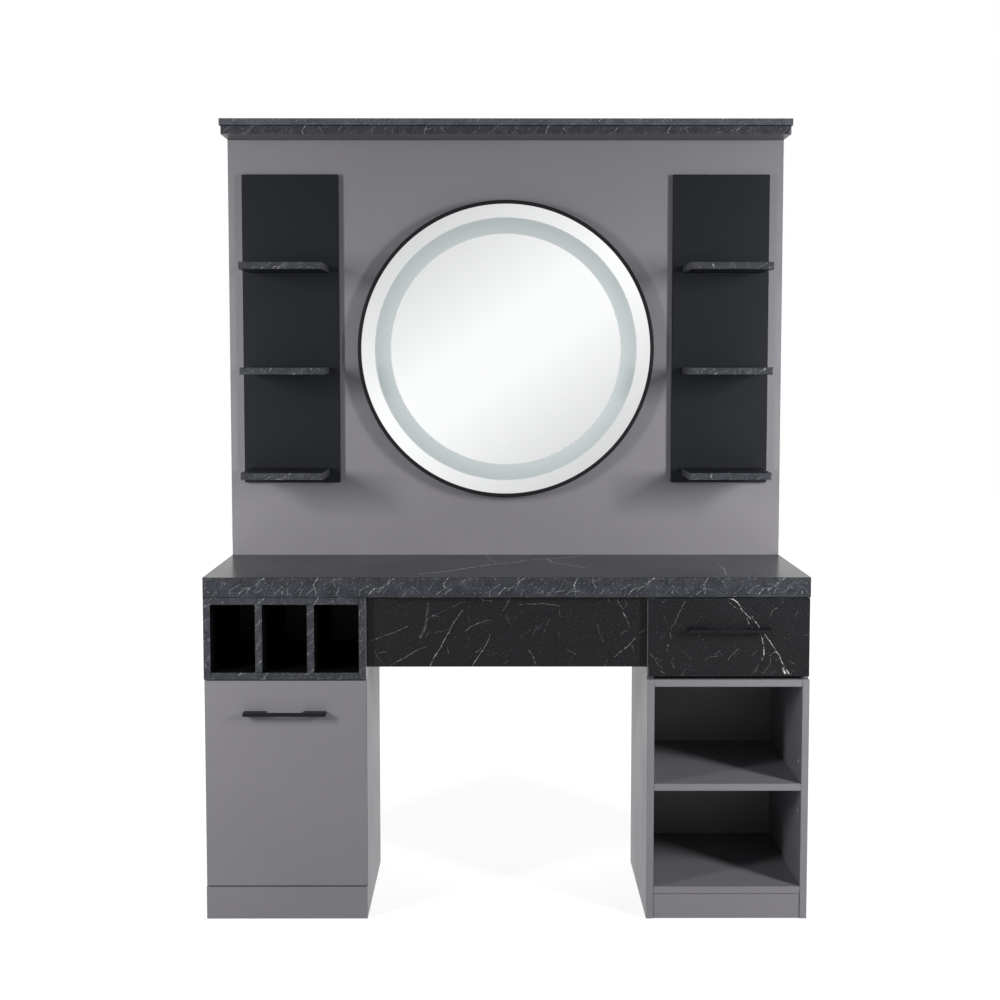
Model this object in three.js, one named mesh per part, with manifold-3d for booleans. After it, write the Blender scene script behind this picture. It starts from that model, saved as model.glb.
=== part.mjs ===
// Salon styling station: a worktop on two pedestals, with an upper rack of appliance pigeonholes
// on the left and a drawer on the right. A back panel under a cornice carries a round lit mirror
// and six floating shelves. Millimetres, +Z up, the front faces -Y.
import * as THREE from "three";
import { mergeVertices } from "three/addons/utils/BufferGeometryUtils.js";
import Module from "manifold-3d";

// Boards
const JOINT = 0.3; // air between two pieces that meet
const BOARD = 18; // laminated board of the carcasses and fronts
const BACK_BOARD = 8; // pedestal and rack backs
const EDGE_CHAMFER = 0.8; // broken edge of the edge banding
const WELD_TOLERANCE = 1e-4; // vertices closer than this are one

// Desk
const STATION_WIDTH = 1500;
const DESK_DEPTH = 500;
const WORKTOP_THICKNESS = 50;
const PEDESTAL_WIDTH = 402;
const PEDESTAL_HEIGHT = 605;
const UPPER_MODULE_HEIGHT = 205; // rack and drawer case between pedestal and worktop
const APRON_HEIGHT = 176;
const BOTTOM_BOARD_TOP = 82; // upper face of both pedestal floors, and the overlay plinth's top
const OPEN_SHELF_HEIGHT = 325; // underside of the shelf in the open cabinet
const OPEN_PLINTH_RECESS = 3;
const RACK_BAYS = 3;

// Back panel and cornice
const PANEL_THICKNESS = 36; // two boards, one on the other
const PANEL_RISE = 1124; // above the worktop
const CORNICE_LOWER = 23;
const CORNICE_UPPER = 18;
const CORNICE_OVERHANG = 120;
const CORNICE_STEP = 4; // upper layer proud of the lower one

// Floating shelves
const SHELF_BOARD_WIDTH = 260;
const SHELF_BOARD_HEIGHT = 830;
const SHELF_BOARD_RISE = 200; // above the worktop
const SHELF_BOARD_INSET = 39; // from the panel's end
const SHELF_WIDTH = 214;
const SHELF_DEPTH = 210;
const SHELF_THICKNESS = 19;
const SHELF_INSET = 19; // from the board's outer edge
const LOWER_SHELF_RISE = 21; // its underside above the board's foot
const MIDDLE_SHELF_RISE = 295;
const UPPER_SHELF_RISE = 567;

// Mirror
const MIRROR_CLEARANCE = 51; // from its rim to the shelf boards
const MIRROR_RISE = 561; // its centre above the worktop
const MIRROR_DEPTH = 38;
const FRAME_FACE = 9.4;
const FRAME_WALL = 3;
const FRAME_LIP = 3;
const GLASS_THICKNESS = 5;
const GLASS_CLEARANCE = 0.5; // to the frame, all round
const PAN_GAUGE = 1.2;
const PAN_FLANGE = 12;
const LIGHT_INSET = 70; // middle of the frosted ring, from the mirror's rim
const LED_STRIP_WIDTH = 10;
const LED_STRIP_THICKNESS = 2;
const DRIVER_LENGTH = 160;
const DRIVER_HEIGHT = 42;
const DRIVER_THICKNESS = 11;
const DRIVER_DROP = 150; // its middle below the mirror's centre
const CLEAT_LENGTH = 360;
const CLEAT_LEG = 18; // screwed or welded leg of each Z-bar
const CLEAT_LIP = 9; // free leg of each Z-bar
const CLEAT_GAUGE = 2;
const CLEAT_PLAY = 1; // of a lip between the other bar and its seat
const CLEAT_WELD = 0.2; // depth of the hanger bar's weld into the pan
const CLEAT_RISE = 140; // above the mirror's centre
const CABLE_HOLE_RADIUS = 12;
const CABLE_HOLE_DROP = 60; // below the mirror's centre
const ROUND_SEGMENTS = 96; // of the turned pieces
const HOLE_SEGMENTS = 32;

// Fronts
const FRONT_GAP = 2; // fronts stand this far off the carcass edges
const FRONT_REVEAL = 1.5; // at each upright edge of a front
const GAP_UNDER_LID = 2; // above each front
const DRAWER_GAP_BELOW = 8;
const BIN_GAP_BELOW = 3;

// Handles
const HANDLE_LENGTH = 204;
const HANDLE_HEIGHT = 9;
const HANDLE_PROJECTION = 30;
const HANDLE_BAR = 8; // front bar of the handle, front to back
const HANDLE_GRIP = 94; // clear width of the finger recess at the front's face
const HANDLE_SLANT = 3; // run of the recess' slanted ends
const HANDLE_CHAMFER = 1;
const DRAWER_HANDLE_RISE = 125; // above the pedestal top
const BIN_HANDLE_DROP = 82; // below the pedestal top

// Drawer, towel bin and their three-member slides
const WRAP_WALL = 12; // folded wrap of the drawer and bin boxes
const BOX_BASE = 8;
const BASE_LIFT = 8; // base above the wrap's lower edge
const DRAWER_CLEAR_BELOW = 22;
const DRAWER_CLEAR_ABOVE = 40;
const BIN_CLEAR_BELOW = 26;
const BIN_CLEAR_ABOVE = 110;
const SLIDE_WIDTH = 13; // from carcass side to box side
const SLIDE_HEIGHT = 45;
const SLIDE_GAUGE = 1.2;
const SLIDE_PLAY = 0.4;
const SLIDE_CORNER = 1.5; // flats at the rolled corners
const SLIDE_SETBACK = 2; // behind the carcass' front edge
const SLIDE_END_CLEARANCE = 20; // to the pedestal's back board
const DRAWER_SLIDE_RISE = 85; // slide's middle above the pedestal top
const BIN_SLIDE_RISE = 150; // slide's middle above the pedestal floor

// Joint lines that follow from the sizes
const FACE = (HANDLE_PROJECTION + DESK_DEPTH - PANEL_THICKNESS) / 2; // panel's front face
const FRONT = FACE - DESK_DEPTH; // faces of the fronts and of the worktop edge
const REAR = FACE + PANEL_THICKNESS;
const CARCASS = FRONT + BOARD + FRONT_GAP; // front edges behind overlay fronts
const INSIDE_BACK = FACE - BACK_BOARD;
const OUTER = STATION_WIDTH / 2;
const INNER = OUTER - PEDESTAL_WIDTH;
const MIRROR_RADIUS = OUTER - SHELF_BOARD_INSET - SHELF_BOARD_WIDTH - MIRROR_CLEARANCE;
const LIGHT_RADIUS = MIRROR_RADIUS - LIGHT_INSET;
const BAY_INNER = INNER + BOARD;
const BAY_OUTER = OUTER - BOARD;
const PEDESTAL_MIDDLE = (INNER + OUTER) / 2;
const UNDERSIDE = PEDESTAL_HEIGHT + UPPER_MODULE_HEIGHT;
const DESK_TOP = UNDERSIDE + WORKTOP_THICKNESS;
const PANEL_TOP = DESK_TOP + PANEL_RISE;
const SLIDE_FRONT = CARCASS + SLIDE_SETBACK;
const SLIDE_BACK = INSIDE_BACK - SLIDE_END_CLEARANCE;
const LEFT = -1;
const RIGHT = 1;

const COLOURS = {
  greyLaminate: { color: 0x7f7e82, roughness: 0.55, metalness: 0 },
  blackLaminate: { color: 0x2b2c30, roughness: 0.5, metalness: 0 },
  marbleLaminate: { color: 0x45464a, roughness: 0.35, metalness: 0 },
  blackMetal: { color: 0x1c1d20, roughness: 0.45, metalness: 0.6 },
  zincSteel: { color: 0xb4b6b8, roughness: 0.35, metalness: 1 },
  mirrorGlass: { color: 0xf4f6f6, roughness: 0.03, metalness: 1 },
  whiteLight: { color: 0xffffff, roughness: 0.6, metalness: 0 },
  greyPlastic: { color: 0x8d8f92, roughness: 0.6, metalness: 0 },
  whiteBoard: { color: 0xd9d9d6, roughness: 0.5, metalness: 0 },
};

const station = new THREE.Group();
station.position.z = -JOINT / 2; // the lowest boards stand on z = 0

function add(name, colour, geometry, parent = station) {
  const mesh = new THREE.Mesh(geometry, new THREE.MeshStandardMaterial(COLOURS[colour]));
  mesh.name = name;
  parent.add(mesh);
  return mesh;
}

// A span of x on the left or right half, given by its distances from the middle.
function half(side, near, far) {
  return side === LEFT ? [-far, -near] : [near, far];
}

// Both ends of a nominal span, drawn in by half a joint.
function seated([from, to]) {
  return [from + JOINT / 2, to - JOINT / 2];
}

function rectangle([left, right], [low, high]) {
  return new THREE.Shape([
    new THREE.Vector2(left, low),
    new THREE.Vector2(right, low),
    new THREE.Vector2(right, high),
    new THREE.Vector2(left, high),
  ]);
}

// A shape drawn in x and z, extruded from y = from to y = to.
function extrudeBack(shape, [from, to], bevel = 0) {
  const geometry = extrude(shape, to - from, bevel);
  return geometry.rotateX(Math.PI / 2).translate(0, to, 0);
}

// A shape drawn in x and y, extruded from z = from to z = to.
function extrudeUp(shape, [from, to], bevel = 0) {
  return extrude(shape, to - from, bevel).translate(0, 0, from);
}

// Extrusion from 0 to depth, with both end edges chamfered inside the outline.
function extrude(shape, depth, bevel) {
  const geometry = new THREE.ExtrudeGeometry(shape, {
    depth: depth - 2 * bevel,
    bevelEnabled: bevel > 0,
    bevelThickness: bevel,
    bevelSize: bevel,
    bevelOffset: -bevel,
    bevelSegments: 1,
    curveSegments: HOLE_SEGMENTS / 2,
  });
  return geometry.translate(0, 0, bevel);
}

// A board between nominal joint lines: half a joint comes off every face.
function board(name, colour, x, y, z) {
  const shape = rectangle(seated(x), seated(z));
  return add(name, colour, extrudeBack(shape, seated(y), EDGE_CHAMFER));
}

// Boolean joins and cuts
const wasm = await Module();
wasm.setup();

function solid(geometry) {
  const bare = geometry.index ? geometry.toNonIndexed() : geometry.clone();
  bare.deleteAttribute("normal");
  bare.deleteAttribute("uv");
  const merged = mergeVertices(bare, WELD_TOLERANCE);
  return new wasm.Manifold(
    new wasm.Mesh({
      numProp: 3,
      vertProperties: merged.attributes.position.array,
      triVerts: new Uint32Array(merged.index.array),
    }),
  );
}

function geometryOf(manifold) {
  const { vertProperties, triVerts } = manifold.getMesh();
  const geometry = new THREE.BufferGeometry();
  geometry.setAttribute("position", new THREE.BufferAttribute(vertProperties, 3));
  geometry.setIndex(new THREE.BufferAttribute(triVerts, 1));
  geometry.computeVertexNormals();
  return geometry;
}

// Desk
function buildDesk() {
  const depth = [FRONT, FACE];
  const boardDepth = [FRONT, INSIDE_BACK];
  board("worktop", "marbleLaminate", [-OUTER, OUTER], depth, [UNDERSIDE, DESK_TOP]);
  const apronHeight = [UNDERSIDE - APRON_HEIGHT, UNDERSIDE];
  board("apron", "marbleLaminate", [-INNER, INNER], [CARCASS, CARCASS + BOARD], apronHeight);
  buildRack(depth, boardDepth);
  buildSides("drawer_case", "greyLaminate", RIGHT, [CARCASS, FACE], [PEDESTAL_HEIGHT, UNDERSIDE]);
  buildClosedPedestal();
  buildOpenPedestal(depth, boardDepth);
}

function buildSides(module, colour, side, y, z) {
  board(`${module}_outer_side`, colour, half(side, BAY_OUTER, OUTER), y, z);
  board(`${module}_inner_side`, colour, half(side, INNER, BAY_INNER), y, z);
}

// Upper left module: pigeonholes for hair tools, open at the front.
function buildRack(depth, boardDepth) {
  const bay = half(LEFT, BAY_INNER, BAY_OUTER);
  const floor = PEDESTAL_HEIGHT + BOARD;
  const ceiling = UNDERSIDE - BOARD;
  buildSides("rack", "marbleLaminate", LEFT, depth, [PEDESTAL_HEIGHT, UNDERSIDE]);
  board("rack_bottom", "marbleLaminate", bay, boardDepth, [PEDESTAL_HEIGHT, floor]);
  board("rack_top", "marbleLaminate", bay, boardDepth, [ceiling, UNDERSIDE]);
  board("rack_back", "blackLaminate", bay, [INSIDE_BACK, FACE], [PEDESTAL_HEIGHT, UNDERSIDE]);
  const pitch = (BAY_OUTER - BAY_INNER + BOARD) / RACK_BAYS;
  for (let i = 1; i < RACK_BAYS; i += 1) {
    const right = bay[0] + i * pitch;
    board(`rack_divider_${i}`, "marbleLaminate", [right - BOARD, right], boardDepth, [floor, ceiling]);
  }
}

// Lower left module behind the towel bin's front.
function buildClosedPedestal() {
  const bay = half(LEFT, BAY_INNER, BAY_OUTER);
  const height = [0, PEDESTAL_HEIGHT];
  const floor = [BOTTOM_BOARD_TOP - BOARD, BOTTOM_BOARD_TOP];
  buildSides("left_pedestal", "greyLaminate", LEFT, [CARCASS, FACE], height);
  board("left_pedestal_bottom", "greyLaminate", bay, [CARCASS, INSIDE_BACK], floor);
  board("left_pedestal_back", "greyLaminate", bay, [INSIDE_BACK, FACE], height);
  const plinth = half(LEFT, INNER, OUTER);
  board("left_plinth", "greyLaminate", plinth, [CARCASS - BOARD, CARCASS], [0, BOTTOM_BOARD_TOP]);
}

// Lower right module: an open cabinet with one shelf.
function buildOpenPedestal(depth, boardDepth) {
  const bay = half(RIGHT, BAY_INNER, BAY_OUTER);
  const height = [0, PEDESTAL_HEIGHT];
  const undersides = {
    bottom: BOTTOM_BOARD_TOP - BOARD,
    shelf: OPEN_SHELF_HEIGHT,
    top: PEDESTAL_HEIGHT - BOARD,
  };
  buildSides("right_pedestal", "greyLaminate", RIGHT, depth, height);
  for (const [name, z] of Object.entries(undersides)) {
    board(`right_pedestal_${name}`, "greyLaminate", bay, boardDepth, [z, z + BOARD]);
  }
  board("right_pedestal_back", "greyLaminate", bay, [INSIDE_BACK, FACE], height);
  const plinthFace = FRONT + OPEN_PLINTH_RECESS;
  board("right_plinth", "greyLaminate", bay, [plinthFace, plinthFace + BOARD], [0, undersides.bottom]);
}

// Back panel, cornice and floating shelves
function buildPanel() {
  const shape = rectangle(seated([-OUTER, OUTER]), seated([PEDESTAL_HEIGHT, PANEL_TOP]));
  const hole = new THREE.Path();
  hole.absarc(0, DESK_TOP + MIRROR_RISE - CABLE_HOLE_DROP, CABLE_HOLE_RADIUS, 0, 2 * Math.PI, true);
  shape.holes.push(hole);
  add("back_panel", "greyLaminate", extrudeBack(shape, seated([FACE, REAR]), EDGE_CHAMFER));

  const step = PANEL_TOP + CORNICE_LOWER;
  const lowerFront = FACE - CORNICE_OVERHANG;
  const upperEnd = OUTER + CORNICE_STEP;
  board("cornice_lower", "marbleLaminate", [-OUTER, OUTER], [lowerFront, REAR], [PANEL_TOP, step]);
  const upperDepth = [lowerFront - CORNICE_STEP, REAR];
  board("cornice_upper", "marbleLaminate", [-upperEnd, upperEnd], upperDepth, [step, step + CORNICE_UPPER]);
}

function buildShelves(sideName, side) {
  const foot = DESK_TOP + SHELF_BOARD_RISE;
  const boardFace = FACE - BOARD;
  const boardEnd = OUTER - SHELF_BOARD_INSET;
  const boardSpan = half(side, boardEnd - SHELF_BOARD_WIDTH, boardEnd);
  const boardHeight = [foot, foot + SHELF_BOARD_HEIGHT];
  board(`${sideName}_shelf_board`, "blackLaminate", boardSpan, [boardFace, FACE], boardHeight);
  const end = boardEnd - SHELF_INSET;
  const span = half(side, end - SHELF_WIDTH, end);
  const rises = { lower: LOWER_SHELF_RISE, middle: MIDDLE_SHELF_RISE, upper: UPPER_SHELF_RISE };
  for (const [name, rise] of Object.entries(rises)) {
    const z = [foot + rise, foot + rise + SHELF_THICKNESS];
    board(`${sideName}_shelf_${name}`, "marbleLaminate", span, [boardFace - SHELF_DEPTH, boardFace], z);
  }
}

// Lit mirror: every round piece is turned about y, with depths from the frame's front face.
function buildMirror() {
  const mirror = new THREE.Group();
  mirror.position.set(0, FACE - MIRROR_DEPTH, DESK_TOP + MIRROR_RISE);
  station.add(mirror);

  const bore = MIRROR_RADIUS - FRAME_WALL;
  const rim = bore - GLASS_CLEARANCE;
  const glassFront = FRAME_LIP + JOINT;
  const glassBack = glassFront + GLASS_THICKNESS;
  const back = MIRROR_DEPTH - JOINT / 2;

  const frame = [
    [MIRROR_RADIUS - EDGE_CHAMFER, 0],
    [MIRROR_RADIUS, EDGE_CHAMFER],
    [MIRROR_RADIUS, back],
    [bore, back],
    [bore, FRAME_LIP],
    [MIRROR_RADIUS - FRAME_FACE, FRAME_LIP],
    [MIRROR_RADIUS - FRAME_FACE, 0],
    [MIRROR_RADIUS - EDGE_CHAMFER, 0],
  ];
  add("mirror_frame", "blackMetal", turned(frame), mirror);

  const glass = [
    [0, glassFront],
    [rim, glassFront],
    [rim, glassBack],
    [0, glassBack],
  ];
  add("mirror_glass", "mirrorGlass", turned(glass), mirror);

  // The panel's bar hooks up and the pan's bar hooks down behind it, so the mirror drops on.
  // Plate, cleat lip, hanger lip and panel follow one another with an air gap between each two.
  const air = CLEAT_PLAY / 2;
  const hangerSeat = back - air - CLEAT_GAUGE - air - CLEAT_GAUGE - air;
  const plateBack = hangerSeat + CLEAT_WELD;
  const hangerRise = CLEAT_RISE + CLEAT_LIP + air;
  const hanger = cleatBar((u, z) => new THREE.Vector2(hangerSeat + u, hangerRise - z));
  const cleat = cleatBar((u, z) => new THREE.Vector2(back - u, CLEAT_RISE + z));
  add("mirror_back_pan", "zincSteel", panGeometry(rim, glassBack + JOINT, plateBack, hanger), mirror);
  add("mirror_cleat", "zincSteel", cleat, mirror);

  const seat = plateBack - PAN_GAUGE - JOINT;
  const stripInner = LIGHT_RADIUS - LED_STRIP_WIDTH / 2;
  const stripOuter = LIGHT_RADIUS + LED_STRIP_WIDTH / 2;
  const strip = [
    [stripInner, seat - LED_STRIP_THICKNESS],
    [stripOuter, seat - LED_STRIP_THICKNESS],
    [stripOuter, seat],
    [stripInner, seat],
    [stripInner, seat - LED_STRIP_THICKNESS],
  ];
  add("led_strip", "whiteLight", turned(strip), mirror);

  const driver = rectangle(
    [-DRIVER_LENGTH / 2, DRIVER_LENGTH / 2],
    [-DRIVER_DROP - DRIVER_HEIGHT / 2, -DRIVER_DROP + DRIVER_HEIGHT / 2],
  );
  const driverDepth = [seat - DRIVER_THICKNESS, seat];
  add("led_driver", "greyPlastic", extrudeBack(driver, driverDepth, EDGE_CHAMFER), mirror);
}

function turned(profile) {
  return new THREE.LatheGeometry(profile.map(([r, y]) => new THREE.Vector2(r, y)), ROUND_SEGMENTS);
}

// Dished pan with a flange for the glass, the hanger bar on its back and a hole for the leads.
function panGeometry(rim, panFront, plateBack, hanger) {
  const wall = rim - PAN_FLANGE;
  const plateFront = plateBack - PAN_GAUGE;
  const dish = [
    [0, plateFront],
    [wall - PAN_GAUGE, plateFront],
    [wall - PAN_GAUGE, panFront],
    [rim, panFront],
    [rim, panFront + PAN_GAUGE],
    [wall, panFront + PAN_GAUGE],
    [wall, plateBack],
    [0, plateBack],
  ];
  const drill = 2 * (plateBack - panFront); // long enough to pass through the plate
  const leads = new THREE.CylinderGeometry(CABLE_HOLE_RADIUS, CABLE_HOLE_RADIUS, drill, HOLE_SEGMENTS);
  leads.translate(0, plateBack, -CABLE_HOLE_DROP);
  return geometryOf(solid(turned(dish)).add(solid(hanger)).subtract(solid(leads)));
}

// One of two interlocking Z-bars: u runs from its seat and z up from its bend, before place
// sets it on the panel or, upside down, on the pan.
function cleatBar(place) {
  const stand = CLEAT_GAUGE + CLEAT_PLAY;
  const profile = [
    [0, -CLEAT_LEG],
    [CLEAT_GAUGE, -CLEAT_LEG],
    [CLEAT_GAUGE, -CLEAT_GAUGE],
    [stand + CLEAT_GAUGE, -CLEAT_GAUGE],
    [stand + CLEAT_GAUGE, CLEAT_LIP],
    [stand, CLEAT_LIP],
    [stand, 0],
    [0, 0],
  ];
  const shape = new THREE.Shape(profile.map(([u, z]) => place(u, z)));
  const bar = extrude(shape, CLEAT_LENGTH, 0).translate(0, 0, -CLEAT_LENGTH / 2);
  return bar.rotateY(Math.PI / 2).rotateX(Math.PI / 2);
}

// Drawer and towel bin: a front with its handle, a folded box behind it and a pair of slides.
function buildPullOut({ name, side, colour, front, box, handleHeight, slideHeight }) {
  const frontBack = FRONT + BOARD;
  const frontSpan = half(side, INNER + FRONT_REVEAL, OUTER - FRONT_REVEAL);
  board(`${name}_front`, colour, frontSpan, [FRONT, frontBack], front);
  const handle = add(`${name}_handle`, "blackMetal", handleGeometry());
  handle.position.set(side * PEDESTAL_MIDDLE, FRONT, handleHeight);

  const [left, right] = half(side, BAY_INNER + SLIDE_WIDTH, BAY_OUTER - SLIDE_WIDTH);
  const wrap = folded(seated([left, right]), seated([frontBack, SLIDE_BACK]));
  add(`${name}_wrap`, "whiteBoard", extrudeUp(wrap, box));
  const inside = [left + WRAP_WALL, right - WRAP_WALL];
  const baseFoot = box[0] + BASE_LIFT;
  const base = [baseFoot, baseFoot + BOX_BASE];
  board(`${name}_base`, "whiteBoard", inside, [frontBack, SLIDE_BACK - WRAP_WALL], base);

  buildSlide(`${name}_slide_left`, left - SLIDE_WIDTH, 1, slideHeight);
  buildSlide(`${name}_slide_right`, right + SLIDE_WIDTH, -1, slideHeight);
}

// Plan of a box's two sides and back, folded from one board and open at the front.
function folded([left, right], [front, back]) {
  return new THREE.Shape([
    new THREE.Vector2(left, front),
    new THREE.Vector2(left + WRAP_WALL, front),
    new THREE.Vector2(left + WRAP_WALL, back - WRAP_WALL),
    new THREE.Vector2(right - WRAP_WALL, back - WRAP_WALL),
    new THREE.Vector2(right - WRAP_WALL, front),
    new THREE.Vector2(right, front),
    new THREE.Vector2(right, back),
    new THREE.Vector2(left, back),
  ]);
}

// Bar handle on two broad feet, with a finger recess between the feet and behind the bar.
function handleGeometry() {
  const foot = -JOINT / 2;
  const barBack = HANDLE_BAR - HANDLE_PROJECTION;
  const end = HANDLE_LENGTH / 2;
  const grip = HANDLE_GRIP / 2;
  const shape = new THREE.Shape([
    new THREE.Vector2(-end, -HANDLE_PROJECTION),
    new THREE.Vector2(end, -HANDLE_PROJECTION),
    new THREE.Vector2(end, foot),
    new THREE.Vector2(grip, foot),
    new THREE.Vector2(grip - HANDLE_SLANT, barBack),
    new THREE.Vector2(HANDLE_SLANT - grip, barBack),
    new THREE.Vector2(-grip, foot),
    new THREE.Vector2(-end, foot),
  ]);
  return extrudeUp(shape, [-HANDLE_HEIGHT / 2, HANDLE_HEIGHT / 2], HANDLE_CHAMFER);
}

// Three nested channels of one slide: way points from the carcass side to the box.
function buildSlide(name, carcassSide, way, height) {
  const step = SLIDE_GAUGE + SLIDE_PLAY;
  const seat = JOINT / 2;
  const boxSeat = SLIDE_WIDTH - JOINT / 2;
  const tip = boxSeat - step;
  const members = {
    cabinet_member: channel(seat, tip, SLIDE_HEIGHT),
    middle_member: channel(seat + step, tip, SLIDE_HEIGHT - 2 * step),
    box_member: channel(boxSeat, seat + 2 * step, SLIDE_HEIGHT - 4 * step),
  };
  for (const [member, profile] of Object.entries(members)) {
    const shape = new THREE.Shape(profile.map(([u, z]) => new THREE.Vector2(way * u, z)));
    const mesh = add(`${name}_${member}`, "zincSteel", extrudeBack(shape, [SLIDE_FRONT, SLIDE_BACK]));
    mesh.position.set(carcassSide, 0, height);
  }
}

// Channel section with its web at u = web and its flanges reaching to u = tip.
function channel(web, tip, height) {
  const way = Math.sign(tip - web);
  const top = height / 2;
  const inside = web + way * SLIDE_GAUGE;
  const upper = [
    [tip, top - SLIDE_GAUGE],
    [tip, top],
    [web + way * SLIDE_CORNER, top],
    [web, top - SLIDE_CORNER],
  ];
  const lower = upper.map(([u, z]) => [u, -z]).reverse();
  return [[inside, top - SLIDE_GAUGE], ...upper, ...lower, [inside, SLIDE_GAUGE - top]];
}

buildDesk();
buildPanel();
buildShelves("left", LEFT);
buildShelves("right", RIGHT);
buildMirror();
buildPullOut({
  name: "drawer",
  side: RIGHT,
  colour: "marbleLaminate",
  front: [PEDESTAL_HEIGHT + DRAWER_GAP_BELOW, UNDERSIDE - GAP_UNDER_LID],
  box: [PEDESTAL_HEIGHT + DRAWER_CLEAR_BELOW, UNDERSIDE - DRAWER_CLEAR_ABOVE],
  handleHeight: PEDESTAL_HEIGHT + DRAWER_HANDLE_RISE,
  slideHeight: PEDESTAL_HEIGHT + DRAWER_SLIDE_RISE,
});
buildPullOut({
  name: "bin",
  side: LEFT,
  colour: "greyLaminate",
  front: [BOTTOM_BOARD_TOP + BIN_GAP_BELOW, PEDESTAL_HEIGHT - GAP_UNDER_LID],
  box: [BOTTOM_BOARD_TOP + BIN_CLEAR_BELOW, PEDESTAL_HEIGHT - BIN_CLEAR_ABOVE],
  handleHeight: PEDESTAL_HEIGHT - BIN_HANDLE_DROP,
  slideHeight: BOTTOM_BOARD_TOP + BIN_SLIDE_RISE,
});

export default station;
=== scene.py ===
import math

import bmesh
import bpy
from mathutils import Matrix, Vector


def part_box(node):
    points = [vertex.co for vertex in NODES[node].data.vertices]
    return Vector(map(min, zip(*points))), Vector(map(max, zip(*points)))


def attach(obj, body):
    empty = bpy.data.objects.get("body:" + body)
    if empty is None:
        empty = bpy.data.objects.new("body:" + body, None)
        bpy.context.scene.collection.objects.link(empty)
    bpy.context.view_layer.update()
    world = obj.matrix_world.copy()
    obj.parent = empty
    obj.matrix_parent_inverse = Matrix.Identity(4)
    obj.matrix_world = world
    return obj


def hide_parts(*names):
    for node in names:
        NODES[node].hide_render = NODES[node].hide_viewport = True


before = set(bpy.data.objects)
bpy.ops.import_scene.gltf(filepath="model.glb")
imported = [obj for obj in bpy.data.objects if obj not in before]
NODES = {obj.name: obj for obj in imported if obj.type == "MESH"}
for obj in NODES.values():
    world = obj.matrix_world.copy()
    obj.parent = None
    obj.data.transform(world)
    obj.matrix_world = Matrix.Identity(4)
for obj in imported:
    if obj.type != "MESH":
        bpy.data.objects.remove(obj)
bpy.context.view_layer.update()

SCENE = bpy.context.scene
SCENE.view_settings.view_transform = "Standard"

# Camera, solved from the straight edges in the photograph
CAMERA_PLACE = (-0.0294, -4.5214, 1.4021)
CAMERA_PITCH = 0.0820
CAMERA_YAW = 0.0029
CAMERA_LENS = 62.86
SENSOR_WIDTH = 36.0

# Two softboxes, placed and aimed for the right side and mirrored for the left
SOFTBOX_PLACE = (2.2, -2.0, 1.66)
SOFTBOX_AIM = (0.98, 0.1, 0.92)
SOFTBOX_SIZE = (0.42, 1.0)
SOFTBOX_SPREAD = math.radians(92.0)
LEFT_POWER = 19.4
RIGHT_POWER = 24.2

# World: soft fill, weaker from the front, and the slanted bright band that the mirror shows
FILL_FROM_FRONT = 0.038
FILL_FROM_BEHIND = 1.0
FILL_TURN = (-0.2, 0.7)
SEEN_AHEAD = 1.0
SEEN_ASIDE = 0.66
SEEN_SLANT = math.radians(35)
SEEN_REACH = (0.012, 0.09)
SEEN_BEHIND = (0.0, 0.2)

# Floor: white where it is seen, with the object's shadow on it
FLOOR_REACH = 9.0
FLOOR_GLOW = (0.84, 1.0)
FLOOR_GLOW_REACH = (0.9, 2.4)
FLOOR_SHADED = 0.3
FLOOR_BOUNCE = 0.85

# Mirror print, in metres from the mirror's centre
FROST_INNER = 0.310
FROST_OUTER = 0.3535
FROST_SOFTNESS = 0.0016
TOUCH_DROP = 0.245
TOUCH_RADIUS = 0.0098
TOUCH_LINE = 0.0013
TOUCH_BAR_RISE = 0.002
TOUCH_BAR_HALF = (0.0045, 0.0038)
TOUCH_FROST = 0.4
STRIP_CHIPS = 120.0

# Mirror frame ring, in metres
FRAME_FACE = 0.0100
FRAME_WALL = 0.003
FRAME_LIP = 0.003
FRAME_ROUND = 0.0014
FRAME_ROUND_STEPS = (0, 18, 36, 54, 72, 90)
FRAME_SEGMENTS = 256

# Small fittings, in metres; the profiles are shares of their radius and height
CAP_RADIUS = 0.0045
CAP_HEIGHT = 0.0016
CAP_DEPTHS = (-0.208, 0.130)
CAP_RISES = (0.264, 0.390)
BUMPER_RADIUS = 0.004
BUMPER_HEIGHT = 0.0015
BUMPER_INSET = 0.016
BUTTON_PROFILE = [(1.0, 0.0), (1.0, 0.45), (0.94, 0.7), (0.78, 0.88), (0.5, 0.97), (0.2, 1.0)]
SCREW_RADIUS = 0.0042
SCREW_HEIGHT = 0.0024
SCREW_SPREAD = 0.080
SCREW_PROFILE = [(1.0, 0.0), (1.0, 0.4), (0.95, 0.66), (0.84, 0.86), (0.72, 0.97)]
CROSS_ARM = 0.62
CROSS_HALF_WIDTH = 0.13
CROSS_NARROWING = 0.8
CROSS_FLOOR = 0.35
SMALL_SEGMENTS = 24
SHARP_ANGLE = math.radians(38)

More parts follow.
